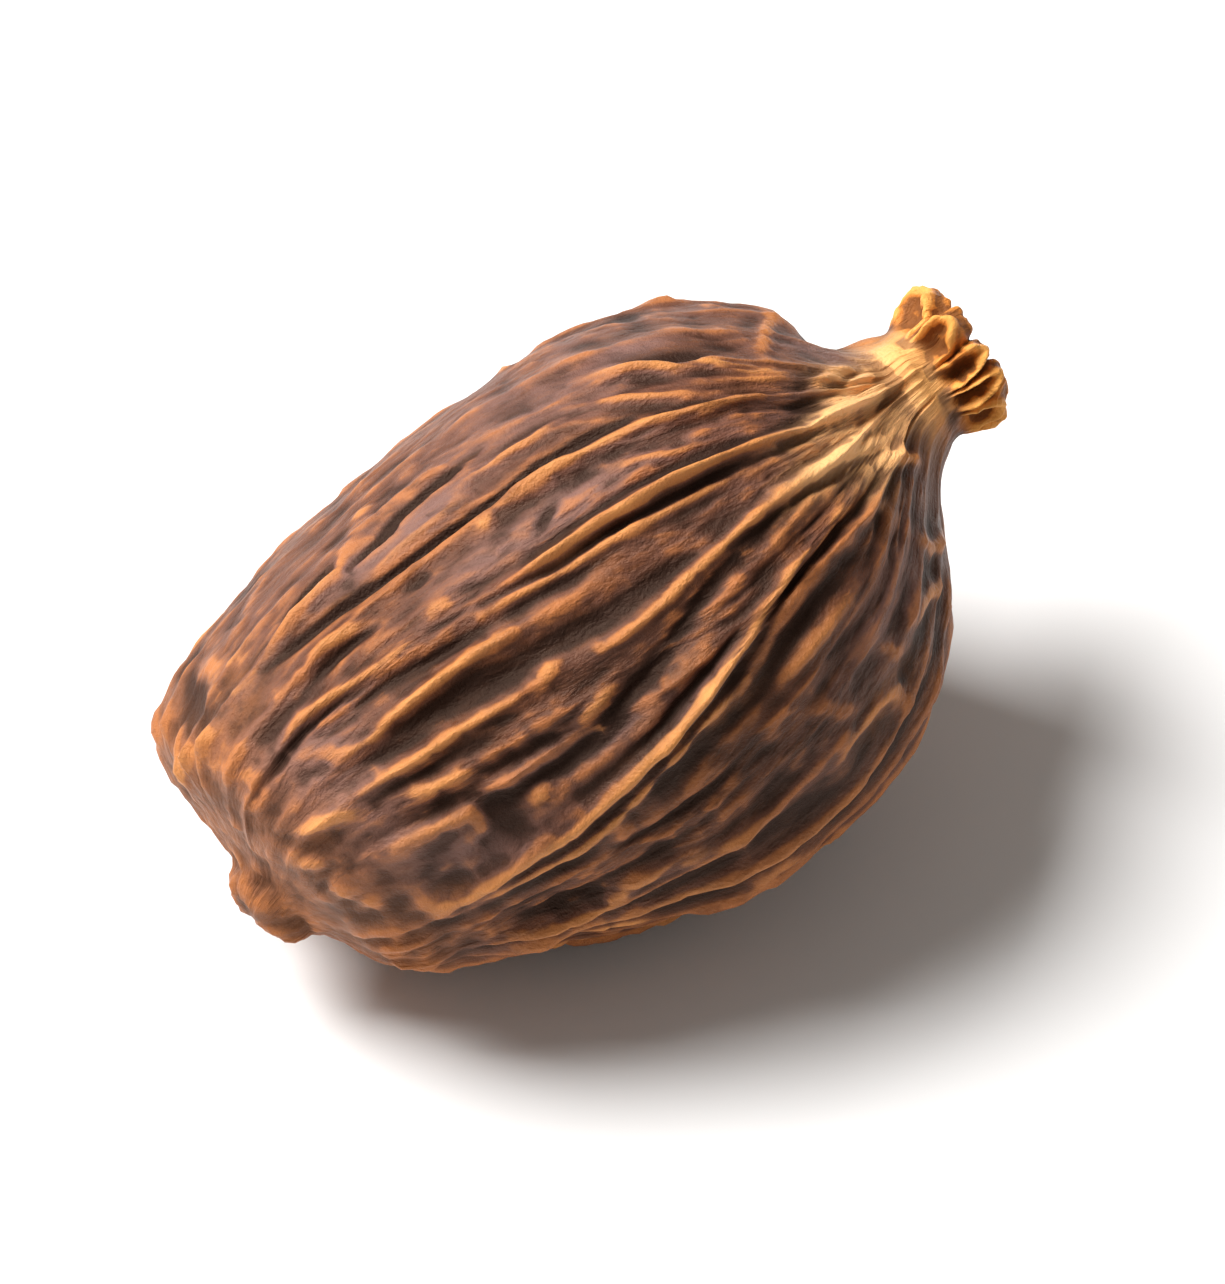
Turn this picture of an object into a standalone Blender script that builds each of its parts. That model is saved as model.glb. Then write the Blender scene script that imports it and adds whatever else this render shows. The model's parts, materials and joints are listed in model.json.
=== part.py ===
"""A dried calabash nutmeg pod, one ribbed husk lying on its side with its open crown raised.

The husk is one closed skin. Rings of points are strung along a bowed centreline, from the stalk scar at
the blunt end, over the belly and the narrow neck, round the crown's knobbed lip and down into the blind
mouth. Every third point of a ring sits on the crest of a lengthwise rib, so the edges follow the ribs.
The underside is pressed flat where the pod rests. Metres, +Z up, with the origin on the ground under
the middle of the pod and the crown towards +X.

A turn is an angle round the centreline: 0 is the top, and 90 degrees faces -Y. A share is a distance
along the pod, from 0 at the stalk scar to 1 at the top of the crown.
"""
import math

import bpy
import numpy as np
from mathutils import Matrix

# Sizes of the whole pod
LENGTH = 0.0415
BELLY_RADIUS = 0.0125

# How it lies: the crown end is raised, and the lowest part of the belly is pressed flat
REST_TILT = math.radians(14.5)
FLAT_DEPTH = 0.00045
FLAT_SHARE = 0.42
FLAT_REACH = 0.22
FLAT_HALF_TURN = 40.0
FLAT_WEAR = 0.75

# The side view: share of the length, share of the belly's radius, and how strongly the ribs show there
OUTLINE = [
    (0.000, 0.000, 0.00),
    (0.002, 0.090, 0.00),
    (0.014, 0.150, 0.10),
    (0.033, 0.200, 0.15),
    (0.043, 0.350, 0.20),
    (0.056, 0.530, 0.30),
    (0.100, 0.680, 0.55),
    (0.190, 0.800, 0.90),
    (0.300, 0.905, 1.00),
    (0.420, 0.992, 1.00),
    (0.530, 1.022, 1.00),
    (0.630, 0.992, 1.00),
    (0.720, 0.875, 0.95),
    (0.800, 0.650, 0.80),
    (0.845, 0.450, 0.60),
    (0.880, 0.310, 0.45),
    (0.908, 0.250, 0.30),
    (0.938, 0.248, 0.15),
    (0.968, 0.268, 0.05),
    (0.992, 0.250, 0.00),
    (1.000, 0.210, 0.00),
    (0.992, 0.165, 0.00),
    (0.970, 0.130, 0.00),
    (0.940, 0.095, 0.00),
    (0.925, 0.000, 0.00),
]
STEPS_PER_SPAN = 2

# The centreline bows towards the side that sags, and swings back at both ends
BOW_TURN = math.radians(140)
BOW_SHARES = (0.00, 0.033, 0.06, 0.12, 0.25, 0.45, 0.60, 0.75, 0.87, 1.00)
BOW_OFFSETS = (0.0030, 0.0026, 0.0014, 0.0008, 0.0009, 0.0017, 0.0017, 0.0014, 0.0004, -0.0001)

# The blunt end is cut a little aslant: its rings lean back on the side away from the bow
BASE_LEAN = 0.28
BASE_LEAN_REACH = 0.34

# Each rib's turn in degrees near the blunt end, at the belly and near the neck, then its height in
# millimetres at the same three places
RIB_SHARES = (0.2, 0.5, 0.8)
NEAR_RIBS = [
    (-62, -60, -50, 0.32, 0.32, 0.40),
    (-47, -46, -37, 0.18, 0.20, 0.34),
    (-36, -34, -18, 0.18, 0.18, 0.34),
    (-26, -22, 0, 0.24, 0.24, 0.40),
    (-16, -13, 6, 0.28, 0.24, 0.34),
    (-3, -3, 11, 0.26, 0.34, 0.36),
    (8, 6, 15, 0.30, 0.14, 0.20),
    (13, 13, 20, 0.15, 0.55, 0.55),
    (23, 22, 25, 0.45, 0.15, 0.10),
    (34, 33, 30, 0.42, 0.34, 0.40),
    (42, 40, 35, 0.38, 0.14, 0.10),
    (51, 46, 40, 0.38, 0.24, 0.05),
    (73, 52, 45, 0.50, 0.65, 0.55),
    (85, 68, 52, 0.24, 0.30, 0.30),
    (91, 77, 61, 0.10, 0.25, 0.30),
    (98, 86, 72, 0.42, 0.38, 0.36),
    (107, 98, 90, 0.40, 0.40, 0.44),
]
FAR_RIBS = 15
FAR_RIB_HEIGHT = 0.50
FAR_RIB_SPREAD = 0.12
RIB_SWAY = 0.6
RIB_SHARPNESS = 1.3
# Beyond these shares the ribs run straight on
FIRST_RIB_SHARE = 0.12
LAST_RIB_SHARE = 0.84
POINTS_PER_RIB = 3

# The crown's lip is a ring of knobs
KNOBS = 8
KNOB_DEPTH = 0.00035
KNOB_START = 0.93

HUSK_COLOUR = (0.212, 0.091, 0.050, 1.0)
HUSK_ROUGHNESS = 0.62


def smooth_curve(points, steps):
    """Points along the smooth curve through these points, the first and last on the centreline."""
    points = np.array(points)
    before = points[1] * (1, -1, 1)
    after = points[-2] * (1, -1, 1)
    chain = np.vstack([before, points, after])
    travel = np.arange(steps)[:, None] / steps
    spans = []
    for a, b, c, d in zip(chain, chain[1:], chain[2:], chain[3:]):
        bend = 2 * a - 5 * b + 4 * c - d
        twist = 3 * b - a - 3 * c + d
        spans.append(b + 0.5 * travel * (c - a + travel * (bend + travel * twist)))
    return np.vstack(spans + [points[-1:]])


def all_ribs():
    """The ribs of the near side, then those of the far side spread evenly over what is left."""
    ribs = [np.array(rib, dtype=float) for rib in NEAR_RIBS]
    first, last = ribs[0], ribs[-1]
    for number in range(1, FAR_RIBS + 1):
        way = number / (FAR_RIBS + 1)
        rib = last.copy()
        rib[:3] += way * (first[:3] + 360 - last[:3])
        rib[3:] = FAR_RIB_HEIGHT + FAR_RIB_SPREAD * math.sin(2.4 * number)
        ribs.append(rib)
    return np.array(ribs)


def through_three(values, share):
    """The parabola through a rib's three values, read at this share."""
    a, b, c = RIB_SHARES
    low, middle, high = values.T
    return (
        low * (share - b) * (share - c) / ((a - b) * (a - c))
        + middle * (share - a) * (share - c) / ((b - a) * (b - c))
        + high * (share - a) * (share - b) / ((c - a) * (c - b))
    )


def ring_of_turns(ribs, share):
    """The turns and rib heights of one ring's points, in degrees and metres."""
    share = min(max(share, FIRST_RIB_SHARE), LAST_RIB_SHARE)
    number = np.arange(len(ribs))
    crests = through_three(ribs[:, :3], share) + RIB_SWAY * np.sin(14 * share + 2.3 * number)
    heights = np.clip(through_three(ribs[:, 3:], share), 0, None) / 1000
    phase = np.arange(len(ribs) * POINTS_PER_RIB) / POINTS_PER_RIB
    turns = np.interp(phase, np.arange(len(ribs) + 1), np.append(crests, crests[0] + 360))
    nearest = np.round(phase).astype(int)
    distance = np.abs(phase - nearest)
    ridge = (1 - 2 * distance) ** RIB_SHARPNESS
    return turns, heights[nearest % len(ribs)] * ridge


def wear(turns, share):
    """How far the ribs are rubbed away round the spot that the pod rests on, from 0 to 1."""
    along = max(0, 1 - abs(share - FLAT_SHARE) / FLAT_REACH)
    around = np.clip(1 - np.abs(turns - 180) / FLAT_HALF_TURN, 0, None)
    return FLAT_WEAR * np.sqrt(along * around)


def husk_rings():
    """One row of points for each step along the outline, before the pod is laid down."""
    ribs = all_ribs()
    curve = smooth_curve(OUTLINE, STEPS_PER_SPAN)
    tangents = np.gradient(curve[:, :2] * (LENGTH, BELLY_RADIUS), axis=0)
    rings = []
    for (share, radius, strength), (run, rise) in zip(curve, tangents):
        turns, height = ring_of_turns(ribs, share)
        slope = math.hypot(run, rise)
        height = height * strength * (1 - wear(turns, share))
        knob = KNOB_DEPTH * np.cos(np.radians(turns) * KNOBS) * (share > KNOB_START)
        height = height + knob
        angle = np.radians(turns)
        out = radius * BELLY_RADIUS + height * run / slope
        bow = np.interp(share, BOW_SHARES, BOW_OFFSETS)
        lean = BASE_LEAN * max(0, 1 - share / BASE_LEAN_REACH) * out * np.cos(angle - BOW_TURN)
        x = share * LENGTH - height * rise / slope + lean
        y = -out * np.sin(angle) - bow * math.sin(BOW_TURN)
        z = out * np.cos(angle) + bow * math.cos(BOW_TURN)
        rings.append(np.column_stack([x, y, z]))
    return rings


def laid_down(points):
    """Tilt the pod, set it on the ground, press its lowest part flat and centre it over the origin."""
    points = points @ np.array(Matrix.Rotation(-REST_TILT, 3, "Y")).T
    points[:, 2] -= points[:, 2].min() + FLAT_DEPTH
    points[:, 2] = np.clip(points[:, 2], 0, None)
    middle = (points.min(axis=0) + points.max(axis=0)) / 2
    points[:, :2] -= middle[:2]
    return points


def husk_mesh(name):
    """One closed skin: a fan at the stalk scar, bands between rings, and a fan at the mouth's floor."""
    rings = husk_rings()
    start, end = rings[0].mean(axis=0), rings[-1].mean(axis=0)
    rings = rings[1:-1]
    points = laid_down(np.vstack([start[None], *rings, end[None]]))
    around = len(rings[0])
    last = len(points) - 1
    faces = []
    for step in range(around):
        after = (step + 1) % around
        faces.append((0, 1 + after, 1 + step))
        for ring in range(len(rings) - 1):
            here, there = 1 + ring * around, 1 + (ring + 1) * around
            faces.append((here + step, here + after, there + after, there + step))
        here = last - around
        faces.append((here + step, here + after, last))
    mesh = bpy.data.meshes.new(name)
    mesh.from_pydata(points.tolist(), [], faces)
    mesh.shade_smooth()
    return mesh


def husk_material():
    material = bpy.data.materials.new("dried_husk")
    material.use_nodes = True
    shader = material.node_tree.nodes["Principled BSDF"]
    shader.inputs["Base Color"].default_value = HUSK_COLOUR
    shader.inputs["Roughness"].default_value = HUSK_ROUGHNESS
    shader.inputs["Metallic"].default_value = 0.0
    return material


def main():
    for old in list(bpy.data.objects):
        bpy.data.objects.remove(old)
    pod = bpy.data.objects.new("nutmeg_pod", husk_mesh("nutmeg_pod"))
    pod.data.materials.append(husk_material())
    bpy.context.collection.objects.link(pod)


main()
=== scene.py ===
# %% [markdown]
# # A dried calabash nutmeg pod
# The pod is one husk that shrank round its own fibres as it dried: a ribbed belly, a puckered neck and a
# crown of small rolled lobes round an open mouth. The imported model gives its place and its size. This file
# makes the skin that you see, in three steps: a smooth blank whose points run along the ribs, a Geometry
# Nodes tree that raises the ribs, folds and warts and lays the pod down, and one material.

# %% Load the frame
import json
import math

import bpy
import numpy as np
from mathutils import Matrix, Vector

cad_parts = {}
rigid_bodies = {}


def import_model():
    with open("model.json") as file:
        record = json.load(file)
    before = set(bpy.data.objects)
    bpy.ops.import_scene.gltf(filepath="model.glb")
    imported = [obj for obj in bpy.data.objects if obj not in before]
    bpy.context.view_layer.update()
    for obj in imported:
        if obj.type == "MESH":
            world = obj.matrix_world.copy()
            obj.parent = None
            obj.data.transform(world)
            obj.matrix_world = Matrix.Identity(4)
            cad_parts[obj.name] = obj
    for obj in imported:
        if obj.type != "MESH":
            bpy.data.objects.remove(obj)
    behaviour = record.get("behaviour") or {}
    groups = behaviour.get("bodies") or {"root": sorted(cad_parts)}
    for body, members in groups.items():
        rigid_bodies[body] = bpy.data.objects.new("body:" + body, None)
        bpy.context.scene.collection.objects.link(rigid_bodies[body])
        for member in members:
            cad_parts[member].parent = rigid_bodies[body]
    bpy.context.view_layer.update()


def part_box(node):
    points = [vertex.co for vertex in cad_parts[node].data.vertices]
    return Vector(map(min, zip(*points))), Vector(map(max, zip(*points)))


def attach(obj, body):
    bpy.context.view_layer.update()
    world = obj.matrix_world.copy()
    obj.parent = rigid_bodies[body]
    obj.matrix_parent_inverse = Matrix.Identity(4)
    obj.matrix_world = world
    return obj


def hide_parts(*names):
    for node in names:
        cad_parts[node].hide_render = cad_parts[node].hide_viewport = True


for old in list(bpy.data.objects):
    bpy.data.objects.remove(old)
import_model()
low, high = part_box("nutmeg_pod")
print("the pod in the frame, in mm:", [round(1000 * (b - a), 1) for a, b in zip(low, high)])

# %% [markdown]
# ## Writing node trees as sums
# A relief of many small terms is hard to read as a web of nodes. It could be wired by hand, but a formula is
# easier to check and to change. This class wraps one socket, so that `a * 2 + b` adds the Math nodes for us.


# %% A socket that can be used in sums
class Wire:
    def __init__(self, web, socket):
        self.web = web
        self.socket = socket

    def math(self, operation, *others):
        values = dict(enumerate((self, *others)))
        return self.web.node("ShaderNodeMath", {"operation": operation}, values)

    def __add__(self, other):
        return self.math("ADD", other)

    def __sub__(self, other):
        return self.math("SUBTRACT", other)

    def __rsub__(self, other):
        return self.web.node("ShaderNodeMath", {"operation": "SUBTRACT"}, {0: other, 1: self})

    def __mul__(self, other):
        return self.math("MULTIPLY", other)

    def __truediv__(self, other):
        return self.math("DIVIDE", other)

    def __pow__(self, other):
        return self.math("POWER", other)

    def __abs__(self):
        return self.math("ABSOLUTE")

    def __neg__(self):
        return self.math("MULTIPLY", -1.0)

    __radd__ = __add__
    __rmul__ = __mul__

    def bell(self):
        """1 at zero, falling to nothing on both sides."""
        return (-(self * self)).math("EXPONENT")

    def rise(self, start, end):
        """A smooth climb from 0 at start to 1 at end."""
        limits = {"Value": self, "From Min": start, "From Max": end}
        return self.web.node("ShaderNodeMapRange", {"interpolation_type": "SMOOTHSTEP"}, limits)

    def ridge(self, power):
        """Noise folded at its middle, which turns blobs into thin crests."""
        return (1 - abs(self * 2 - 1)) ** power


print("sums of sockets: ready")

# %% [markdown]
# ## Adding every other node by one method
# A texture or a geometry node has settings and named sockets instead of a sign. Each could be made and
# linked on lines of its own, but the links would hide the formula. One method adds a node, sets it, feeds it
# and hands back its output as a wire.


# %% A node tree that is written line by line
class Web:
    def __init__(self, tree):
        self.tree = tree
        tree.nodes.clear()

    def node(self, kind, settings=None, values=None, out=None):
        """Add a node, set its settings, feed its sockets, and return the wanted output or outputs."""
        made = self.tree.nodes.new(kind)
        for name, setting in (settings or {}).items():
            setattr(made, name, setting)
        for name, value in (values or {}).items():
            socket = made.inputs[name] if isinstance(name, int) else self.shown(made.inputs, name)
            if isinstance(value, Wire):
                self.tree.links.new(value.socket, socket)
            else:
                socket.default_value = value
        if isinstance(out, tuple):
            return [Wire(self, self.shown(made.outputs, name)) for name in out]
        if isinstance(out, str):
            return Wire(self, self.shown(made.outputs, out))
        return Wire(self, next(s for s in made.outputs if s.enabled))

    @staticmethod
    def shown(sockets, name):
        return next(s for s in sockets if s.enabled and s.name == name)

    def vector(self, operation, first, second):
        return self.node("ShaderNodeVectorMath", {"operation": operation}, {0: first, 1: second})

    def scaled(self, vector, amount):
        return self.node("ShaderNodeVectorMath", {"operation": "SCALE"}, {0: vector, "Scale": amount})

    def noise(self, place, scale, seed, detail=2.0, rough=0.5, out=None):
        """Soft noise from 0 to 1. scale holds the waves per millimetre across and along."""
        across, along = scale
        place = self.vector("MULTIPLY", place, (across, across, along))
        looks = {"Vector": place, "W": seed, "Scale": 1.0, "Detail": detail, "Roughness": rough}
        return self.node("ShaderNodeTexNoise", {"noise_dimensions": "4D"}, looks, out)

    def wavy(self, place, scale, seed, reach):
        """The same place shifted a little this way and that, so that straight patterns wriggle."""
        shift = self.vector("SUBTRACT", self.noise(place, scale, seed, out="Color"), (0.5, 0.5, 0.5))
        return self.vector("ADD", place, self.scaled(shift, reach))


print("adding nodes: ready")

# %% [markdown]
# ## The blank
# The real husk grew round a core, so every cross-section is a ring, and the rings sit on a line that bows
# a little. It could be sculpted, but a drawn outline keeps every measure in view. The outline runs from
# the stalk scar, over the belly, neck and lip, down into the blind mouth. Each point holds its share of
# the length, its share of the belly's radius, and how strongly the ribs show there.

# %% Sizes and outline
MM = 0.001
LENGTH = 0.0415
BELLY_RADIUS = 0.0125

OUTLINE = [
    (0.000, 0.000, 0.00),
    (0.002, 0.090, 0.00),
    (0.014, 0.150, 0.10),
    (0.033, 0.200, 0.15),
    (0.043, 0.350, 0.20),
    (0.056, 0.530, 0.30),
    (0.100, 0.680, 0.55),
    (0.190, 0.800, 0.90),
    (0.300, 0.905, 1.00),
    (0.420, 0.992, 1.00),
    (0.530, 1.022, 1.00),
    (0.630, 0.992, 1.00),
    (0.720, 0.875, 0.95),
    (0.800, 0.650, 0.80),
    (0.845, 0.450, 0.60),
    (0.880, 0.310, 0.45),
    (0.908, 0.250, 0.30),
    (0.938, 0.248, 0.15),
    (0.968, 0.268, 0.05),
    (0.992, 0.250, 0.00),
    (1.000, 0.210, 0.00),
    (0.992, 0.165, 0.00),
    (0.970, 0.130, 0.00),
    (0.940, 0.095, 0.00),
    (0.925, 0.000, 0.00),
]
print("outline:", len(OUTLINE), "points along", round(LENGTH / MM, 1), "mm")

# %% [markdown]
# ## From the outline to rings
# The pod's skin has no corners between its parts. The outline could be smoothed later, but then the narrow
# neck would shrink, so a curve is drawn through all its points. The rings are set at equal distances along
# it, and closer together on the finely curled crown.

# %% A smooth curve and evenly spaced rings
CROWN_CROWDING, CROWN_START, CROWN_FADE = 1.8, 0.90, 0.04


def smooth_curve(points, steps):
    """The smooth curve through these points, the first and last of which are on the centreline."""
    points = np.array(points)
    chain = np.vstack([points[1] * (1, -1, 1), points, points[-2] * (1, -1, 1)])
    travel = np.arange(steps)[:, None] / steps
    spans = []
    for a, b, c, d in zip(chain, chain[1:], chain[2:], chain[3:]):
        bend = 2 * a - 5 * b + 4 * c - d
        twist = 3 * b - a - 3 * c + d
        spans.append(b + 0.5 * travel * (c - a + travel * (bend + travel * twist)))
    return np.vstack(spans + [points[-1:]])


def evenly_spaced(curve, count):
    """The same curve with its points at equal distances along the skin, and closer on the crown."""
    steps = np.diff(curve[:, :2] * (LENGTH, BELLY_RADIUS), axis=0)
    travelled = np.append(0, np.cumsum(np.hypot(*steps.T)))
    crowding = 1 + CROWN_CROWDING * np.clip((curve[1:, 0] - CROWN_START) / CROWN_FADE, 0, 1)
    effort = np.append(0, np.cumsum(np.diff(travelled) * crowding))
    places = np.interp(np.linspace(0, effort[-1], count), effort, travelled)
    columns = [np.interp(places, travelled, column) for column in curve.T]
    return np.column_stack([*columns, places])


STEPS_PER_SPAN, RINGS = 40, 184
curve = evenly_spaced(smooth_curve(OUTLINE, STEPS_PER_SPAN), RINGS)
print("rings:", len(curve), "along", round(curve[-1, -1] / MM, 1), "mm of skin")

# %% [markdown]
# ## Ribs
# A dried pod shows about thirty lengthwise ribs that bend towards each other at the neck. They could be
# drawn by a ripple of even waves, but real ribs wander, so each visible one has its own turn at three
# places along the pod. A turn is an angle round the pod: 0 is the top and 90 degrees faces the camera's
# side. After the three turns, in degrees, come three heights in millimetres. The ribs behind are spread
# evenly over what is left. The columns of the mesh follow the ribs, so a crest is always a clean line of
# edges.

# %% Rib directions
RIB_SHARES = (0.2, 0.5, 0.8)
NEAR_RIBS = [
    (-62, -60, -50, 0.32, 0.32, 0.40),
    (-47, -46, -37, 0.18, 0.20, 0.34),
    (-36, -34, -18, 0.18, 0.18, 0.34),
    (-26, -22, 0, 0.24, 0.24, 0.40),
    (-16, -13, 6, 0.28, 0.24, 0.34),
    (-3, -3, 11, 0.26, 0.34, 0.36),
    (8, 6, 15, 0.30, 0.14, 0.20),
    (13, 13, 20, 0.15, 0.55, 0.55),
    (23, 22, 25, 0.45, 0.15, 0.10),
    (34, 33, 30, 0.42, 0.34, 0.40),
    (42, 40, 35, 0.38, 0.14, 0.10),
    (51, 46, 40, 0.38, 0.24, 0.05),
    (73, 52, 45, 0.50, 0.65, 0.55),
    (85, 68, 52, 0.24, 0.30, 0.30),
    (91, 77, 61, 0.10, 0.25, 0.30),
    (98, 86, 72, 0.42, 0.38, 0.36),
    (107, 98, 90, 0.40, 0.40, 0.44),
]
FAR_RIBS = 15
FAR_RIB_HEIGHT = 0.50
FAR_RIB_SPREAD = 0.12
COLUMNS_PER_RIB = 16


def all_ribs():
    """The ribs of the near side, then those of the far side."""
    ribs = [np.array(rib, dtype=float) for rib in NEAR_RIBS]
    first, last = ribs[0], ribs[-1]
    for number in range(1, FAR_RIBS + 1):
        way = number / (FAR_RIBS + 1)
        rib = last.copy()
        rib[:3] += way * (first[:3] + 360 - last[:3])
        rib[3:] = FAR_RIB_HEIGHT + FAR_RIB_SPREAD * math.sin(2.4 * number)
        ribs.append(rib)
    return np.array(ribs)


RIBS = all_ribs()
PHASE = np.arange(len(RIBS) * COLUMNS_PER_RIB) / COLUMNS_PER_RIB
print("ribs:", len(RIBS), "with", len(PHASE), "columns")

# %% Reading the ribs at any share
RIB_SWAY, SWAY_WAVES, SWAY_SHIFT = 0.6, 14, 2.3
FIRST_RIB_SHARE, LAST_RIB_SHARE = 0.12, 0.84


def through_three(values, share):
    """The parabola through a rib's three values, read at this share."""
    a, b, c = RIB_SHARES
    near, middle, far = values.T
    return (
        near * (share - b) * (share - c) / ((a - b) * (a - c))
        + middle * (share - a) * (share - c) / ((b - a) * (b - c))
        + far * (share - a) * (share - b) / ((c - a) * (c - b))
    )


def crest_turns(share):
    """The turn of every rib's crest at this share, in degrees, with the first one again at the end."""
    share = min(max(share, FIRST_RIB_SHARE), LAST_RIB_SHARE)
    sway = RIB_SWAY * np.sin(SWAY_WAVES * share + SWAY_SHIFT * np.arange(len(RIBS)))
    crests = through_three(RIBS[:, :3], share) + sway
    return np.append(crests, crests[0] + 360)


def rib_heights(share):
    """The rib height under every column at this share, in millimetres."""
    heights = through_three(RIBS[:, 3:], min(max(share, FIRST_RIB_SHARE), LAST_RIB_SHARE))
    heights = np.append(heights, heights[0]).clip(0)
    return np.interp(PHASE, np.arange(len(RIBS) + 1), heights)


print("crests at the belly, in degrees:", crest_turns(0.5).round().astype(int).tolist())

# %% [markdown]
# ## Where a point of the skin lies
# The pod grew a little crooked: its middle line bows to one side, and its blunt end is cut aslant. A bend
# modifier could do it, but here each ring is shifted and leaned before any relief is added.

# %% Bow, lean and one point
BOW_TURN = math.radians(140)
BOW_SHARES = (0.00, 0.033, 0.06, 0.12, 0.25, 0.45, 0.60, 0.75, 0.87, 1.00)
BOW_OFFSETS = (0.0030, 0.0026, 0.0014, 0.0008, 0.0009, 0.0017, 0.0017, 0.0014, 0.0004, -0.0001)
BASE_LEAN, BASE_LEAN_REACH = 0.28, 0.34


def skin_point(share, radius, turn):
    """A point of the smooth blank, with the pod's length along X. turn is in radians."""
    bow = np.interp(share, BOW_SHARES, BOW_OFFSETS)
    out = radius * BELLY_RADIUS
    lean = BASE_LEAN * np.clip(1 - share / BASE_LEAN_REACH, 0, None) * out * np.cos(turn - BOW_TURN)
    x = share * LENGTH + lean
    y = -out * np.sin(turn) - bow * math.sin(BOW_TURN)
    z = out * np.cos(turn) + bow * math.cos(BOW_TURN)
    return np.stack(np.broadcast_arrays(x, y, z), axis=-1)


print("crown top before tilting, in mm:", (skin_point(1.0, 0.0, 0.0) / MM).round(1).tolist())

# %% [markdown]
# ## The blank's mesh and what each point knows
# A relief needs to know where it is on the pod. We could work that out again inside the tree, but it is
# simpler to write it down once as point attributes: the share and the turn, the rib phase (a whole number on
# each crest), the rib's height and strength, the gap between crests, the crown lobe, and whether the point
# is inside the mouth. A strand coordinate wraps the rib phase round a straight cylinder, so that noise
# stretched along it follows the ribs and meets itself without a seam.

# %% Points and what they know
STRAND_RADIUS = 9.0
LOBE_EDGES = (-62, -10, 30, 56, 78, 111, 150, 195, 245, 298)
LEAST_RADIUS = 0.02
KNOWN_NAMES = ("share", "phase", "rib_height", "gap", "turn", "inside", "strength", "lobe")


def blank_points():
    """Every point of the blank, and a row of what each one knows, with one point at each end."""
    lip = int(np.argmax(curve[:, 0]))
    start = LOBE_EDGES[0]
    points, facts = [], []
    for ring, (share, radius, strength, travelled) in enumerate(curve):
        crests = crest_turns(share)
        turns = np.interp(PHASE, np.arange(len(RIBS) + 1), crests)
        gap = np.interp(PHASE, np.arange(len(RIBS)) + 0.5, np.diff(crests))
        gap = np.radians(gap) * max(radius, LEAST_RADIUS) * BELLY_RADIUS / MM
        wrap = 2 * math.pi * PHASE / len(RIBS)
        points.append(skin_point(share, radius, np.radians(turns)))
        facts.append(np.column_stack([
            np.full_like(PHASE, share),
            PHASE,
            rib_heights(share) * strength,
            gap,
            turns,
            np.full_like(PHASE, float(ring > lip)),
            np.full_like(PHASE, strength),
            np.interp((turns - start) % 360 + start, LOBE_EDGES, range(len(LOBE_EDGES))),
            STRAND_RADIUS * np.cos(wrap),
            STRAND_RADIUS * np.sin(wrap),
            np.full_like(PHASE, travelled / MM),
        ]))
    points = np.vstack([points[0][:1], *points[1:-1], points[-1][:1]])
    return points, np.vstack([facts[0][:1], *facts[1:-1], facts[-1][:1]])


points, facts = blank_points()
print("blank:", len(points), "points, each with", facts.shape[1], "numbers")


# %% Join the points into one skin
def blank_mesh():
    """A fan at the stalk scar, bands between the rings, and a fan at the mouth's floor."""
    around = len(PHASE)
    last = len(points) - 1
    faces = []
    for step in range(around):
        after = (step + 1) % around
        faces.append((0, 1 + after, 1 + step))
        for here in range(1, last - around, around):
            there = here + around
            faces.append((here + step, here + after, there + after, there + step))
        here = last - around
        faces.append((here + step, here + after, last))
    mesh = bpy.data.meshes.new("blank")
    mesh.from_pydata(points.tolist(), [], faces)
    mesh.shade_smooth()
    for column, name in enumerate(KNOWN_NAMES):
        mesh.attributes.new(name, "FLOAT", "POINT").data.foreach_set("value", facts[:, column].copy())
    strand = mesh.attributes.new("strand", "FLOAT_VECTOR", "POINT")
    strand.data.foreach_set("vector", facts[:, len(KNOWN_NAMES):].ravel())
    return mesh


blank = bpy.data.objects.new("blank", blank_mesh())
bpy.context.scene.collection.objects.link(blank)
print("blank:", len(blank.data.polygons), "faces")
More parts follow.
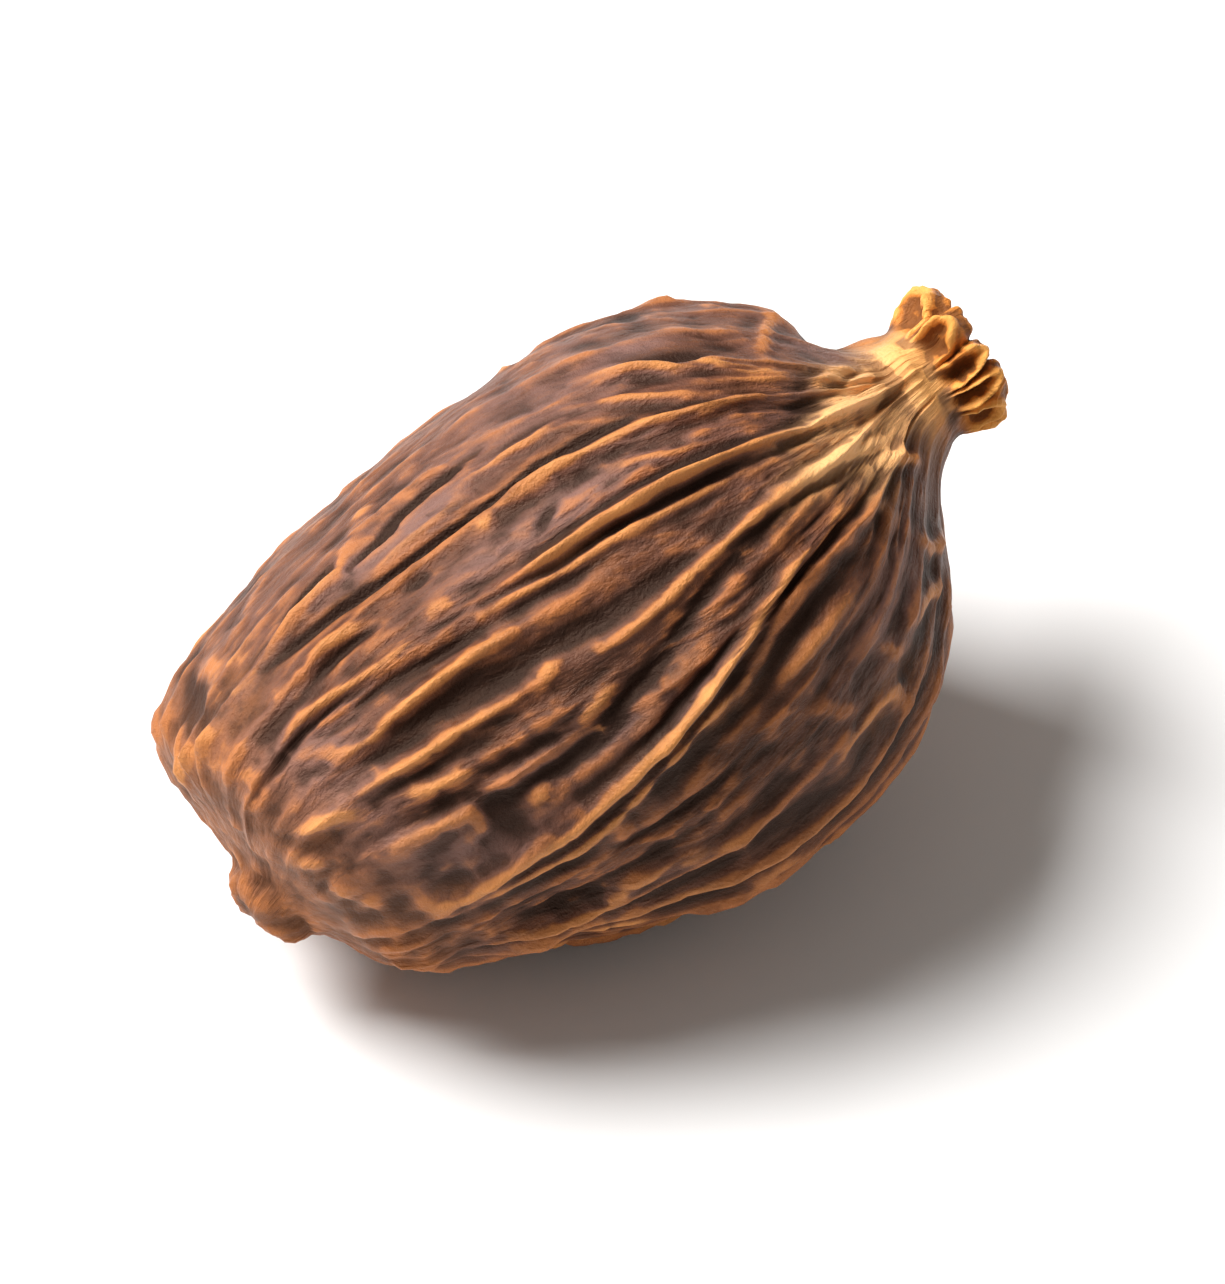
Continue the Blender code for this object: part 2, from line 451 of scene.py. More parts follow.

# %% [markdown]
# ## Folds and cracks
# Between the ribs the husk has single folds, hooks and cracks that no rule gives. They could be sculpted,
# but drawn lines on the blank are easier to move. Each line is a list of (share, turn) points, then a
# height and a half-width in millimetres, and how pale its top is, partly from wear and partly a painted
# highlight. A negative height is a crack. Lines for the sides that the camera does not see are scattered
# along the ribs with a fixed seed.

# %% Folds drawn on the near side
FOLDS = [
    ([(0.05, -45), (0.055, -33), (0.068, -24), (0.085, -16), (0.1, -11)], 0.32, 0.4, 0.5),
    ([(0.315, -32), (0.345, -33)], 0.24, 0.36, 0.5),
    ([(0.56, -56), (0.555, -50)], 0.26, 0.36, 0.7),
    ([(0.19, -16), (0.24, -17.5), (0.275, -18.5), (0.295, -23)], 0.28, 0.3, 0.5),
    ([(0.3, -12), (0.36, -11.8), (0.42, -12.5)], 0.22, 0.26, 0.3),
    ([(0.44, -15.5), (0.47, -14.5), (0.51, -13.3), (0.545, -14)], 0.3, 0.28, 0.5),
    ([(0.56, -15), (0.6, -10.5), (0.63, -6.5), (0.67, -2), (0.7, 1)], 0.3, 0.3, 0.5),
    ([(0.59, -20), (0.62, -17.5), (0.65, -14), (0.68, -9.5), (0.71, -8), (0.74, -3.5), (0.77, 0.5),
      (0.8, 2.8)], 0.44, 0.4, 0.8),
    ([(0.44, -3.5), (0.5, -3), (0.56, -1.7), (0.61, -0.5), (0.65, 2.5), (0.69, 5.2),
      (0.73, 5.5)], 0.38, 0.38, 0.8),
    ([(0.55, 4), (0.59, 6.5), (0.62, 9.5), (0.65, 11)], 0.24, 0.3, 0.4),
    ([(0.775, -50), (0.755, -38), (0.74, -30)], 0.26, 0.26, 0.3),
    ([(0.825, -45), (0.815, -33), (0.8, -22), (0.785, -14), (0.77, -8)], 0.26, 0.36, 0.4),
    ([(0.205, -4), (0.23, -2.8), (0.26, -1)], 0.3, 0.36, 0.6),
    ([(0.4, -3), (0.425, -2.5)], 0.26, 0.4, 0.7),
    ([(0.085, 4.5), (0.095, 8.5)], 0.28, 0.44, 0.3),
    ([(0.13, 9), (0.16, 7.5), (0.2, 9), (0.25, 10.5), (0.29, 10)], 0.28, 0.32, 0.6),
    ([(0.3, 8.5), (0.32, 7), (0.34, 9)], 0.22, 0.42, 0.4),
    ([(0.42, 12.3), (0.46, 12.8), (0.5, 13.4), (0.55, 14.2), (0.6, 14.9), (0.65, 15.8),
      (0.7, 17.3), (0.75, 18.3)], 0.54, 0.28, 1.0),
    ([(0.35, 15), (0.42, 16), (0.5, 17), (0.56, 18.2), (0.62, 19.5), (0.7, 21.5)], 0.42, 0.3, 0.7),
    ([(0.76, 18.5), (0.79, 19.5), (0.82, 20.5), (0.85, 22), (0.88, 23)], 0.45, 0.5, 1.0),
    ([(0.79, 9), (0.81, 7), (0.83, 5.5), (0.85, 2)], 0.32, 0.36, 1.0),
    ([(0.83, 14), (0.85, 11), (0.88, 8)], 0.28, 0.34, 1.0),
    ([(0.155, 20.5), (0.175, 23.5), (0.2, 24), (0.22, 22.5), (0.26, 22), (0.31, 21.3),
      (0.365, 21)], 0.38, 0.34, 0.8),
    ([(0.43, 34), (0.5, 33.2), (0.56, 31.5), (0.62, 30.2), (0.68, 29), (0.73, 28.5), (0.77, 30.5),
      (0.8, 34), (0.83, 38)], 0.46, 0.36, 0.9),
    ([(0.62, 37.5), (0.66, 35.5), (0.71, 34), (0.75, 35)], 0.26, 0.36, 0.2),
    ([(0.155, 33.5), (0.18, 33.5), (0.22, 34.5), (0.28, 33.7), (0.33, 34)], 0.34, 0.36, 0.8),
    ([(0.36, 33.5), (0.385, 30.8)], 0.3, 0.36, 0.7),
    ([(0.07, 28), (0.09, 31.5), (0.115, 35), (0.14, 38)], 0.36, 0.42, 0.7),
    ([(0.06, 37), (0.068, 41), (0.08, 44)], 0.3, 0.36, 0.5),
    ([(0.175, 39), (0.205, 42), (0.24, 42.5), (0.255, 46)], 0.32, 0.38, 0.7),
    ([(0.37, 45), (0.4, 43), (0.425, 40.5)], 0.26, 0.36, 0.5),
    ([(0.12, 50.5), (0.15, 50.8), (0.19, 51), (0.22, 52), (0.228, 54.5), (0.22, 57.5),
      (0.205, 59)], 0.32, 0.34, 0.3),
    ([(0.378, 50), (0.395, 48.3)], 0.32, 0.38, 0.8),
    ([(0.285, 57.5), (0.3, 55)], 0.3, 0.36, 0.6),
    ([(0.28, 61), (0.34, 56.5), (0.4, 53.5), (0.47, 48.5), (0.54, 44), (0.6, 40.5)], 0.3, 0.55, 0.0),
    ([(0.066, 54), (0.07, 59)], 0.3, 0.36, 0.6),
    ([(0.08, 62), (0.086, 66)], 0.3, 0.36, 0.5),
    ([(0.13, 76.5), (0.17, 75), (0.21, 72.5), (0.25, 70.5), (0.3, 68), (0.35, 63.5), (0.4, 59.5),
      (0.45, 55.3), (0.5, 51.5), (0.55, 49), (0.6, 45.5), (0.65, 42.8), (0.7, 41.5), (0.74, 39.5),
      (0.79, 39.8)], 0.62, 0.38, 1.0),
    ([(0.8, 40.5), (0.82, 44), (0.835, 49), (0.85, 56), (0.86, 63)], 0.36, 0.36, 0.9),
    ([(0.18, 78), (0.24, 77), (0.3, 73.5), (0.36, 68), (0.42, 62), (0.47, 58), (0.51, 56.5),
      (0.545, 54.5)], 0.36, 0.28, 0.8),
    ([(0.57, 60.5), (0.62, 58), (0.66, 57), (0.7, 55.5)], 0.3, 0.4, 0.4),
    ([(0.16, 97), (0.24, 96.5), (0.29, 94.5), (0.33, 90.5), (0.38, 88), (0.44, 87.3),
      (0.5, 87)], 0.4, 0.44, 0.5),
    ([(0.55, 73), (0.575, 70), (0.6, 71.5), (0.615, 76), (0.635, 79.5),
      (0.65, 80.5)], 0.2, 0.42, 0.0),
    ([(0.58, 88), (0.61, 84.5), (0.65, 83.5), (0.69, 86.5)], 0.3, 0.38, 0.4),
    ([(0.69, 71), (0.698, 75), (0.705, 79)], 0.22, 0.38, 0.2),
    ([(0.74, 79), (0.765, 81), (0.785, 86), (0.8, 94)], 0.34, 0.38, 0.8),
    ([(0.8, 70), (0.81, 80), (0.825, 90), (0.84, 102)], 0.34, 0.38, 0.6),
    ([(0.18, 106), (0.3, 103), (0.42, 100), (0.55, 99), (0.66, 97)], 0.4, 0.44, 0.4),
]
print("drawn folds:", len(FOLDS))

# %% Cracks drawn on the near side
CRACKS = [
    ([(0.17, -12.5), (0.21, -10.5), (0.25, -9.5), (0.3, -8.2), (0.36, -7.3), (0.43, -6.8),
      (0.5, -7), (0.55, -5.5), (0.6, -4)], -0.55, 0.28, 0.0),
    ([(0.21, -19.5), (0.24, -21), (0.28, -22.5)], -0.36, 0.3, 0.0),
    ([(0.275, -14), (0.29, -18), (0.32, -18), (0.345, -21), (0.38, -21.5), (0.43, -22),
      (0.46, -22)], -0.4, 0.32, 0.0),
    ([(0.765, -46), (0.755, -38), (0.74, -31)], -0.25, 0.26, 0.0),
    ([(0.205, 0.8), (0.24, 0.8), (0.265, 1.5)], -0.26, 0.22, 0.0),
    ([(0.31, -1), (0.335, -2)], -0.26, 0.3, 0.0),
    ([(0.445, 6), (0.465, 4.5), (0.485, 3)], -0.26, 0.26, 0.0),
    ([(0.08, 12), (0.11, 13), (0.15, 10.5), (0.19, 11), (0.23, 13)], -0.28, 0.24, 0.0),
    ([(0.15, 15), (0.23, 15.5), (0.28, 16), (0.34, 18)], -0.32, 0.34, 0.0),
    ([(0.31, 11), (0.35, 12.2), (0.39, 13.7), (0.43, 14.7), (0.5, 15.4), (0.56, 16.3), (0.62, 17.2),
      (0.68, 19)], -0.22, 0.16, 0.0),
    ([(0.72, 19.5), (0.76, 21.5), (0.8, 24), (0.84, 25.3), (0.88, 26.5)], -0.24, 0.32, 0.0),
    ([(0.19, 27), (0.28, 28), (0.38, 28.5), (0.48, 28), (0.56, 27)], -0.36, 0.75, 0.0),
    ([(0.54, 33), (0.6, 31.5), (0.66, 31.6), (0.72, 32.5), (0.76, 34.5)], -0.28, 0.22, 0.0),
    ([(0.26, 52), (0.33, 52), (0.38, 49.5), (0.43, 45), (0.48, 41.5), (0.54, 38),
      (0.6, 34)], -0.44, 0.48, 0.0),
    ([(0.42, 60.5), (0.48, 55.5), (0.54, 52), (0.6, 47.3), (0.66, 44.5), (0.72, 42.5),
      (0.78, 41)], -0.32, 0.18, 0.0),
    ([(0.22, 80), (0.3, 78), (0.38, 75.5), (0.45, 72.5), (0.52, 69)], -0.42, 0.45, 0.0),
    ([(0.17, 92), (0.24, 91), (0.3, 87), (0.37, 83), (0.44, 79.5)], -0.36, 0.42, 0.0),
    ([(0.5, 61.5), (0.55, 58.5), (0.6, 54), (0.65, 51.5), (0.7, 49.5)], -0.38, 0.45, 0.0),
    ([(0.18, 103), (0.22, 102), (0.27, 101)], -0.36, 0.36, 0.0),
]
print("drawn cracks:", len(CRACKS))

# %% Scatter folds over the other sides
SCATTERED_FOLDS, SCATTER_SEED = 120, 7
VISIBLE_TURNS = (-56, 108)
LINE_STARTS, LAST_LINE_SHARE = (0.06, 0.82), 0.86
LINE_LENGTHS, LINE_DRIFTS = (0.03, 0.16), (-30, 30)
LINE_HEIGHTS, LINE_WIDTHS, LINE_PALENESS = (0.15, 0.35), (0.2, 0.4), (0.3, 1)
CRACK_CHANCE = 0.3
POINTS_PER_LINE = 5


def scattered_folds():
    """Short folds and cracks that run along the ribs on the sides away from the camera."""
    chance = np.random.default_rng(SCATTER_SEED)
    lines = []
    start, end = VISIBLE_TURNS
    while len(lines) < SCATTERED_FOLDS:
        share = chance.uniform(*LINE_STARTS)
        turn = chance.uniform(end, start + 360)
        length, drift = chance.uniform(*LINE_LENGTHS), chance.uniform(*LINE_DRIFTS)
        crack = chance.random() < CRACK_CHANCE
        height = chance.uniform(*LINE_HEIGHTS) * (-1 if crack else 1)
        places = np.linspace(0, 1, POINTS_PER_LINE)
        sway = chance.normal(0, 1.0, POINTS_PER_LINE)
        points = [(share + length * p, turn + drift * length * p + s) for p, s in zip(places, sway)]
        points = [(s, t) for s, t in points if s < LAST_LINE_SHARE]
        if len(points) > 1:
            width = chance.uniform(*LINE_WIDTHS)
            lines.append((points, height, width, 0 if crack else chance.uniform(*LINE_PALENESS)))
    return lines


SCATTERED = scattered_folds()
print("scattered:", len(SCATTERED), "lines, of which cracks:", sum(line[1] < 0 for line in SCATTERED))

# %% String points along every line
LINE_STEP = 0.1


def radius_at(share):
    outer = np.array(OUTLINE)[: [point[0] for point in OUTLINE].index(1.0) + 1]
    return np.interp(share, outer[:, 0], outer[:, 1])


def line_mesh(lines):
    """Points strung closely along every line, each knowing its line's height, width and paleness."""
    points, facts = [], []
    for drawn, height, width, pale in lines:
        shares, turns = np.array(drawn, dtype=float).T
        rough = skin_point(shares, radius_at(shares), np.radians(turns))
        travelled = np.append(0, np.cumsum(np.linalg.norm(np.diff(rough, axis=0), axis=1)))
        places = np.arange(0, travelled[-1], LINE_STEP * MM)
        shares, turns = np.interp(places, travelled, shares), np.interp(places, travelled, turns)
        points.append(skin_point(shares, radius_at(shares), np.radians(turns)))
        way = places / places[-1]
        taper = np.sqrt(np.sin(np.pi * np.clip(way, 0.03, 0.97)))
        facts.append(np.column_stack([height * taper, np.full_like(way, width), pale * taper]))
    points, facts = np.vstack(points), np.vstack(facts)
    mesh = bpy.data.meshes.new("lines")
    mesh.from_pydata(points.tolist(), [], [])
    for column, name in enumerate(("line_height", "line_width", "line_pale")):
        mesh.attributes.new(name, "FLOAT", "POINT").data.foreach_set("value", facts[:, column].copy())
    return mesh


lines = bpy.data.objects.new("lines", line_mesh(FOLDS + CRACKS + SCATTERED))
bpy.context.scene.collection.objects.link(lines)
print("lines:", len(FOLDS + CRACKS + SCATTERED), "strung with", len(lines.data.vertices), "points")

# %% [markdown]
# ## The relief tree and its named sizes
# The skin stands proud of the blank by one small height for each thing that grew or dried there. They could
# be fixed numbers deep in the tree, but a size with a name can be changed on the modifier. The rib, fold and
# lobe heights scale what is drawn, the wander is a share of the gap between two ribs, the flat spot's depth
# is in metres, the tilt is an angle in radians, and the others are in millimetres.

# %% The tree and its named sizes
REST_TILT = math.radians(14.5)
FLAT_DEPTH = 0.00045
RELIEF_SIZES = {
    "Rib height": 0.85,
    "Rib wander": 0.55,
    "Dash height": 0.17,
    "Fibre height": 0.12,
    "Wrinkle height": 0.10,
    "Wart height": 0.13,
    "Crumple height": 0.23,
    "Lump height": 0.90,
    "Dent depth": 0.40,
    "Fold height": 1.0,
    "Lobe height": 0.45,
    "Skin inset": 0.28,
    "Flat depth": FLAT_DEPTH,
    "Rest tilt": REST_TILT,
}
relief_tree = bpy.data.node_groups.new("husk_relief", "GeometryNodeTree")
web = Web(relief_tree)
inputs = {"Geometry": "Geometry", "Lines": "Object", "Finish": "Material"}
inputs.update(dict.fromkeys(RELIEF_SIZES, "Float"))
for name, kind in inputs.items():
    relief_tree.interface.new_socket(name, in_out="INPUT", socket_type="NodeSocket" + kind)
relief_tree.interface.new_socket("Geometry", in_out="OUTPUT", socket_type="NodeSocketGeometry")
size = dict(zip(inputs, web.node("NodeGroupInput", out=tuple(inputs))))
print("inputs of the relief tree:", ", ".join(size))

# %% [markdown]
# ## Reading the blank inside the tree
# Each formula has to know where on the husk it is. It could work that out from the position, but the blank
# already wrote it down. These wires read it, and two helpers tell how far round a point lies from a turn, and
# how near it is to the middle of a soft spot.


# %% Wires that every term uses
def known(name, kind="FLOAT"):
    """What the blank's points know under this name."""
    return web.node("GeometryNodeInputNamedAttribute", {"data_type": kind}, {"Name": name})


share, turn, gap, inside = known("share"), known("turn"), known("gap"), known("inside")
strand = known("strand", "FLOAT_VECTOR")
place = web.node("GeometryNodeInputPosition")
in_mm = web.scaled(place, 1 / MM)
wriggly = web.wavy(strand, (0.40, 0.25), seed=17, reach=2.2)


def turned_from(centre):
    """How many degrees round the pod a point lies from this turn, the shorter way."""
    return (turn - (centre - 180)).math("FLOORED_MODULO", 360.0) - 180


def zone(centre_share, centre_turn, share_reach, turn_reach):
    """1 at this place on the skin, fading to nothing over the two reaches."""
    along = ((share - centre_share) / share_reach).bell()
    return along * (turned_from(centre_turn) / turn_reach).bell()


def progress(step):
    print(step, "- the relief tree now has", len(relief_tree.nodes), "nodes")


progress("reading the blank")

# %% [markdown]
# ## Rib relief
# On the real husk a rib is a bundle of fibres under the skin: a narrow bead on top of a broad slope that
# falls to the next valley. A plain sine wave would look like corduroy. Here the slope comes from the rib
# phase, the bead from the distance in millimetres, and noise makes the crest wander, swell and thin out.
# Where the pod rests, the ribs are rubbed down. All heights from here on are in millimetres.

# %% Rib relief
BEAD_WIDTH = 0.34
FLAT_SHARE, FLAT_REACH = 0.42, 0.22
FLAT_TURN, FLAT_HALF_TURN, FLAT_WEAR = 180, 40, 0.75

wander = (web.noise(strand, (0.16, 0.09), seed=1) - 0.5) * size["Rib wander"]
phase = known("phase") + wander
across = phase - phase.math("ROUND")
slope = (1 - abs(across) * 2) ** 1.5
bead = (across * gap / BEAD_WIDTH).bell()
knots = web.noise(strand, (0.3, 0.5), seed=2).rise(0.3, 0.7)
swell = web.noise(strand, (0.5, 0.15), seed=3).rise(0.34, 0.66) * 1.1 + 0.25
near_flat = (1 - abs(share - FLAT_SHARE) / FLAT_REACH).math("MAXIMUM", 0.0)
near_flat = near_flat * (1 - abs(turned_from(FLAT_TURN)) / FLAT_HALF_TURN).math("MAXIMUM", 0.0)
kept = 1 - near_flat ** 0.5 * FLAT_WEAR
rib_relief = known("rib_height") * size["Rib height"] * swell * (slope * 0.85 + bead * (knots * 0.4 + 0.15))
progress("ribs")

# %% [markdown]
# ## Fibres, wrinkles and warts
# Dry skin clings to its fibres, so thin lines and short broken ridges run along the pod, down in the valleys
# too. They could be left to the bump map, but they have to cast shadows. Noise folded at its middle gives
# thin crests, and stretching it along the strand coordinate turns them into fibres. The same noise turned
# the other way gives cross wrinkles, and cells give the little warts.

# %% Relief that follows the strands
broken = web.noise(strand, (0.35, 0.22), seed=13).rise(0.42, 0.62)
dash_relief = web.noise(wriggly, (0.70, 0.14), seed=14).ridge(3.5) * broken * size["Dash height"]

coarse = web.noise(wriggly, (0.75, 0.12), seed=4, detail=3.0).ridge(4.0)
fine = web.noise(wriggly, (1.5, 0.32), seed=5, detail=2.0).ridge(3.0)
fibre_relief = (coarse + fine * 0.5 - 0.25) * size["Fibre height"]

patches = web.noise(strand, (0.12, 0.07), seed=6).rise(0.42, 0.62)
cross = web.noise(strand, (0.28, 0.85), seed=7, detail=1.0).ridge(3.0)
wrinkle_relief = cross * patches * size["Wrinkle height"]

cells = web.node(
    "ShaderNodeTexVoronoi",
    {"voronoi_dimensions": "3D", "feature": "F1"},
    {"Vector": web.vector("MULTIPLY", strand, (0.55, 0.55, 0.36)), "Scale": 1.0},
    out="Distance",
)
wart_patches = web.noise(strand, (0.2, 0.12), seed=8).rise(0.5, 0.62)
wart_relief = (1 - cells.rise(0.10, 0.36)) * wart_patches * size["Wart height"]
progress("fibres, wrinkles and warts")

# %% [markdown]
# ## Crumples, dents and lumps
# As it shrank the husk also crumpled across its fibres, most of all round the blunt end, and sank here and
# there. A sculptor would press these in by hand. Plain noise in millimetres, the same along and across, does
# it evenly, and a rise along the share keeps the lumps to the blunt end.

# %% Relief that ignores the strands
crumple = web.noise(in_mm, (0.60, 0.60), seed=18, detail=3.0).ridge(2.5)
crumple_relief = (crumple - 0.3) * (1 - share.rise(0.08, 0.26) * 0.72) * size["Crumple height"]
crumple_relief = crumple_relief * (1 - share.rise(0.80, 0.88) * 0.7)

dents = web.noise(in_mm, (0.13, 0.13), seed=9, detail=1.0)
dent_relief = (dents - 0.5) * size["Dent depth"]
lumps = web.noise(in_mm, (0.34, 0.34), seed=15, detail=2.0) - 0.5
lump_relief = lumps * (1 - share.rise(0.06, 0.24)) * size["Lump height"]
progress("crumples, dents and lumps")

# %% [markdown]
# ## Folds and cracks from the drawn lines
# The drawn lines are a second object, and the tree measures how far each point of the blank is from the
# nearest line. A bell curve of that distance is a rounded fold, or a crack where the height is negative.
# Curves with a profile could be laid on the skin instead, but they would stay separate bodies.

# %% Fold relief
strung = web.node("GeometryNodeObjectInfo", {}, {"Object": size["Lines"]}, out="Geometry")
raised = known("line_height").math("GREATER_THAN", 0.0)
folds, cracks = web.node(
    "GeometryNodeSeparateGeometry",
    {"domain": "POINT"},
    {"Geometry": strung, "Selection": raised},
    out=("Selection", "Inverted"),
)
ripple = (web.noise(strand, (0.8, 0.5), seed=10) - 0.5) * 0.25


def along_lines(drawn):
    """The relief that these lines give, and how pale their tops are, from wear and a painted highlight."""
    search = {"Geometry": drawn, "Sample Position": place}
    nearest = web.node("GeometryNodeSampleNearest", {"domain": "POINT"}, search)

    def of_line(value, kind="FLOAT"):
        wanted = {"Geometry": drawn, "Value": value, "Index": nearest}
        return web.node("GeometryNodeSampleIndex", {"data_type": kind, "domain": "POINT"}, wanted)

    spot = of_line(place, "FLOAT_VECTOR")
    away = web.node("ShaderNodeVectorMath", {"operation": "DISTANCE"}, {0: place, 1: spot}, out="Value")
    on_line = ((away / MM + ripple) / of_line(known("line_width"))).bell()
    return on_line * of_line(known("line_height")), on_line ** 2 * of_line(known("line_pale"))


raised_relief, pale_line = along_lines(folds)
crack_relief, _ = along_lines(cracks)
fold_relief = (raised_relief + crack_relief) * size["Fold height"]
progress("folds and cracks")

# %% [markdown]
# ## Shoulder, sinks and blunt end
# A few large features belong to this pod alone. Two shoulders swell before the neck and one drops sharply to
# it, the skin sank in between some ribs, and the ribs end in knuckles and one heel round the rough stalk
# scar. They could be sculpted, but bells and rises place them and can be moved. A sink has a share, a turn,
# its reach in both, and its depth.

# %% Large relief of the belly
SHOULDER_TURN, FAR_SHOULDER_TURN = -57, 124
shoulder = share.rise(0.68, 0.79) * (1 - share.rise(0.826, 0.842)) * 0.50
collar = share.rise(0.834, 0.850) * (1 - share.rise(0.860, 0.900)) * 0.80
shoulder_relief = (shoulder - collar) * (turned_from(SHOULDER_TURN) / 26).bell()
shoulder_relief += zone(0.80, FAR_SHOULDER_TURN, 0.06, 24) * 0.4

SINKS = [
    (0.10, -32, 0.030, 10, -0.40),
    (0.245, 53, 0.020, 4, -0.40),
    (0.20, 86, 0.080, 5, -0.25),
    (0.695, -12, 0.018, 3, -0.30),
    (0.71, 86, 0.015, 3, -0.35),
    (0.78, 12, 0.030, 5, -0.40),
    (0.87, 27, 0.020, 3, -0.30),
]
sink_relief = sum(zone(*spot) * depth for *spot, depth in SINKS)

knuckles = ((share - 0.075) / 0.025).bell() * bead * knots * 0.45
scar = (1 - share.rise(0.030, 0.045)) * (web.noise(in_mm, (0.9, 0.9), seed=11) - 0.45)
heel = zone(0.075, -85, 0.030, 40) * 0.4
base_relief = knuckles + scar * 1.2 + heel
progress("shoulder, sinks and blunt end")

# %% [markdown]
# ## Crown
# The skin ends in a rim of crumpled loops, each with a rolled border and a sunken middle. They could be rings
# joined to the neck, but on the real pod they are the same skin. So each lobe is an arch drawn round its own
# middle and bent by noise, and a notch parts it from the next. A band and fine pleats tighten the neck.

# %% Crown and neck
ARCH_WIDTH, ARCH_START, ARCH_HEIGHT = 0.39, 0.946, 0.030
lobe = known("lobe")
lobe_across = lobe - lobe.math("FLOOR") - 0.5
own = web.node("ShaderNodeTexWhiteNoise", {"noise_dimensions": "1D"}, {"W": lobe.math("FLOOR")}, out="Value")
curl = web.noise(in_mm, (0.7, 0.7), seed=16) - 0.5
legs = (lobe_across + curl * 0.45) / ARCH_WIDTH
tops = (share - ARCH_START).math("MAXIMUM", 0.0) / (own * 0.014 + ARCH_HEIGHT)
arch = (legs ** 2 + tops ** 2) ** 0.5
rolled = ((arch - 1) / 0.22).bell() * 1.2 - (arch / 0.74).bell() * 1.6
notch = ((abs(lobe_across) - 0.5) / 0.11).bell() * share.rise(0.935, 0.985) * 0.9
rim = 1 - inside * (1 - share.rise(0.985, 1.0))
crumpled = (curl * 1.8 + (crumple - 0.3) * 0.5 - notch) * rim
crown_relief = (rolled * (1 - inside) + crumpled) * share.rise(0.925, 0.950) * size["Lobe height"]
band_height = (turned_from(16) / 17).bell() * 0.40 + (turned_from(22) / 45).bell() * 0.20
band = ((share - 0.910) / 0.015).bell() * band_height
pleats = web.noise(strand, (0.24, 0.06), seed=19, detail=1.0).ridge(1.5) - 0.5
pleat_relief = pleats * share.rise(0.76, 0.86) * (1 - share.rise(0.905, 0.925)) * 0.5
progress("crown and neck")

# %% [markdown]
# ## Adding the terms
# All these shapes are one skin, so the terms are added to one height. They could be displaced one after the
# other, but each would turn the normals under the next. The small terms fade out at the blunt end and the
# neck, where the skin is drawn tight.

# %% Sum of the relief
skin = share.rise(0.010, 0.060)
middle = share.rise(0.08, 0.20) * (1 - share.rise(0.78, 0.88) * 0.8)
calm = 1 - (turned_from(-44) / 26).bell() * 0.25
body = (rib_relief + (dash_relief + fibre_relief + wrinkle_relief + wart_relief) * middle * calm) * kept
body = body * (known("strength") * 0.75 + 0.25) + crumple_relief + pleat_relief
body = body + fold_relief + dent_relief + shoulder_relief + sink_relief + lump_relief + band
relief = (body - size["Skin inset"]) * skin + base_relief + crown_relief
progress("sum")

# %% [markdown]
# ## Where the colours change
# The husk did not dry evenly: some patches are a warm orange brown, a flank is mauve and the neck is golden,
# with a painted highlight over the neck's gold. Another flank is darkened with painted shade. These could be
# painted on an image, but zones by share and turn stay with the skin. Each has a share, a turn in degrees and
# its reach in both, and a painted shade spot ends with its strength.

# %% Colour zones
WARM_SPOTS = [
    (0.05, -30, 0.020, 20), (0.12, -10, 0.040, 8), (0.15, -25, 0.020, 8),
    (0.105, 34, 0.040, 6), (0.46, 12.5, 0.04, 2), (0.16, 75, 0.040, 4),
    (0.67, 85, 0.040, 5), (0.75, 0, 0.030, 4), (0.47, 58, 0.06, 2),
]
COOL_SPOTS = [
    (0.44, 4, 0.14, 5), (0.36, -15, 0.08, 4), (0.66, -23, 0.04, 4),
    (0.78, 11, 0.03, 5), (0.83, -10, 0.04, 9), (0.72, 68, 0.07, 8),
    (0.42, 51, 0.14, 3), (0.20, 63, 0.06, 6), (0.13, 36, 0.06, 30),
]
COOL_FLANK, COOL_FLANK_STRENGTH = (0.46, -28, 0.34, 27), 0.4
GOLDEN_SPOTS = [(0.85, 12, 0.04, 10), (0.80, 20, 0.06, 3), (0.77, 30, 0.06, 4), (0.83, 38, 0.05, 9)]
# Painted shade: these spots darken a flank as if it lay in shade; the skin there is no darker.
PAINTED_SHADE_SPOTS = [(0.58, 92, 0.30, 34, 0.7), (0.50, 66, 0.15, 16, 0.6), (0.44, 46, 0.14, 13, 1.0)]
# The golden neck and spots are the neck's own pale gold with a painted highlight laid over it.
golden_neck = share.rise(0.850, 0.905) * (turned_from(16) / 40).bell() * 1.3
zones = {
    "warm": sum(zone(*spot) for spot in WARM_SPOTS),
    "cool": sum(zone(*spot) for spot in COOL_SPOTS) + zone(*COOL_FLANK) * COOL_FLANK_STRENGTH,
    "golden": golden_neck + sum(zone(*spot) for spot in GOLDEN_SPOTS),
    "dusky": sum(zone(*spot) * strength for *spot, strength in PAINTED_SHADE_SPOTS),
}
progress("colour zones")

# %% [markdown]
# ## Writing down what the finish needs
# Rubbed crests are paler, and the valleys are darkened with painted shade. The finish could look for them by
# pointiness, but that knows only the finest edges. Here the height is compared with its own blurred copy: a
# little blur finds the crests, and a wide one finds the hollows. These and the zones are stored on the
# points.


# %% Store heights, crests, hollows and zones
def keep(geometry, name, value):
    """Store a value on the points, for the next nodes and for the material."""
    wanted = {"Geometry": geometry, "Name": name, "Value": value}
    return web.node("GeometryNodeStoreNamedAttribute", {"data_type": "FLOAT", "domain": "POINT"}, wanted)


def blurred(value, rounds):
    wanted = {"Value": value, "Iterations": rounds}
    return web.node("GeometryNodeBlurAttribute", {"data_type": "FLOAT"}, wanted)


shape = keep(size["Geometry"], "relief", relief)
stored = known("relief")
shape = keep(shape, "crest", (stored - blurred(stored, 12)) * 5.4 + 0.5)
shape = keep(shape, "hollow", (blurred(stored, 60) - blurred(stored, 3)) * 3.0 + 0.5)
shape = keep(shape, "pale", pale_line)
for name, value in zones.items():
    shape = keep(shape, name, value)
progress("stored values")

